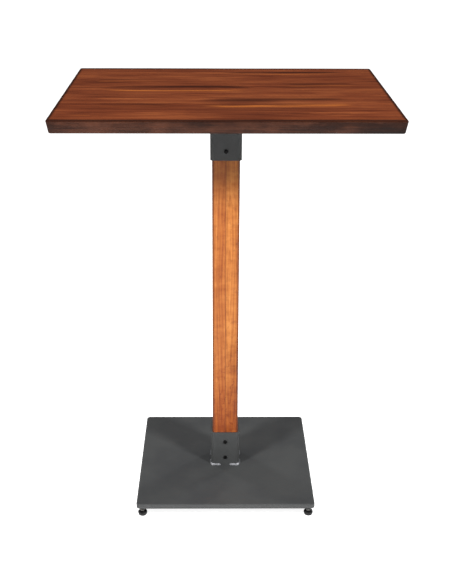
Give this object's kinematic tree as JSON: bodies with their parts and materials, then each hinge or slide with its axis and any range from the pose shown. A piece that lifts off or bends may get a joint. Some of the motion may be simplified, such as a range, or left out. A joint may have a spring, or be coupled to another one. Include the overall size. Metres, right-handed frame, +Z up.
{
  "type": "bistro table",
  "caption": "Bar-height bistro table: rectangular stained wooden top, square laminated wooden post in steel sockets, square steel base plate on screw feet.",
  "frame": {"origin": "on the floor, under the middle of the post and the centre of the base", "axes": "+Z up, +X along the long side of the top towards the right, +Y towards the rear; the front is towards -Y"},
  "size_m": [0.7612, 0.6092, 1.045],
  "materials": {
    "top_wood": "hand-scraped boards stained red-brown, satin lacquer, darkened edges",
    "post_wood": "oiled orange-brown wood, two boards glued face to face",
    "charcoal_steel": "charcoal powder coat, fine texture, semi-matt",
    "weld_metal": "bare rippled weld metal under clear coat",
    "black_screws": "black oxide",
    "plated_screws": "zinc plated",
    "foot_plastic": "black moulded nylon",
    "foot_steel": "bright zinc-plated thread and hexagon"
  },
  "bodies": {
    "table": {"top_stave_1": "top_wood", "top_stave_2": "top_wood", "top_stave_3": "top_wood", "top_stave_4": "top_wood", "top_stave_5": "top_wood", "top_stave_6": "top_wood", "top_stave_7": "top_wood", "top_mounting_plate": "charcoal_steel", "upper_socket": "charcoal_steel", "lower_socket": "charcoal_steel", "upper_socket_welds": "weld_metal", "lower_socket_welds": "weld_metal", "post_left": "post_wood", "post_right": "post_wood", "upper_socket_screws_front": "black_screws", "upper_socket_screws_rear": "black_screws", "lower_socket_screws_front": "black_screws", "lower_socket_screws_rear": "black_screws", "top_screws_corners": "plated_screws", "top_screws_sides": "plated_screws", "base_plate": "charcoal_steel"},
    "foot_pad_front_left": {"foot_pad_front_left": "foot_plastic"},
    "foot_stem_front_left": {"foot_stem_front_left": "foot_steel"},
    "foot_pad_front_right": {"foot_pad_front_right": "foot_plastic"},
    "foot_stem_front_right": {"foot_stem_front_right": "foot_steel"},
    "foot_pad_rear_left": {"foot_pad_rear_left": "foot_plastic"},
    "foot_stem_rear_left": {"foot_stem_rear_left": "foot_steel"},
    "foot_pad_rear_right": {"foot_pad_rear_right": "foot_plastic"},
    "foot_stem_rear_right": {"foot_stem_rear_right": "foot_steel"}
  },
  "joints": [
    {"name": "foot_height_front_left", "type": "slide", "parent": "table", "child": "foot_pad_front_left", "axis": [0, 0, 1], "range_m": [-0.0035, 0.003]},
    {"name": "foot_turn_front_left", "type": "hinge", "parent": "foot_pad_front_left", "child": "foot_stem_front_left", "pos_m": [-0.215, -0.215, 0.02], "axis": [0, 0, 1], "range_deg": [-1009, 865]},
    {"name": "foot_height_front_right", "type": "slide", "parent": "table", "child": "foot_pad_front_right", "axis": [0, 0, 1], "range_m": [-0.0035, 0.003]},
    {"name": "foot_turn_front_right", "type": "hinge", "parent": "foot_pad_front_right", "child": "foot_stem_front_right", "pos_m": [0.215, -0.215, 0.02], "axis": [0, 0, 1], "range_deg": [-1009, 865]},
    {"name": "foot_height_rear_left", "type": "slide", "parent": "table", "child": "foot_pad_rear_left", "axis": [0, 0, 1], "range_m": [-0.0035, 0.003]},
    {"name": "foot_turn_rear_left", "type": "hinge", "parent": "foot_pad_rear_left", "child": "foot_stem_rear_left", "pos_m": [-0.215, 0.215, 0.02], "axis": [0, 0, 1], "range_deg": [-1009, 865]},
    {"name": "foot_height_rear_right", "type": "slide", "parent": "table", "child": "foot_pad_rear_right", "axis": [0, 0, 1], "range_m": [-0.0035, 0.003]},
    {"name": "foot_turn_rear_right", "type": "hinge", "parent": "foot_pad_rear_right", "child": "foot_stem_rear_right", "pos_m": [0.215, 0.215, 0.02], "axis": [0, 0, 1], "range_deg": [-1009, 865]}
  ],
  "couplings": [
    {"joint": "foot_turn_front_left", "follows": "foot_height_front_left", "rad_per_m": 5026.5},
    {"joint": "foot_turn_front_right", "follows": "foot_height_front_right", "rad_per_m": 5026.5},
    {"joint": "foot_turn_rear_left", "follows": "foot_height_rear_left", "rad_per_m": 5026.5},
    {"joint": "foot_turn_rear_right", "follows": "foot_height_rear_right", "rad_per_m": 5026.5}
  ]
}
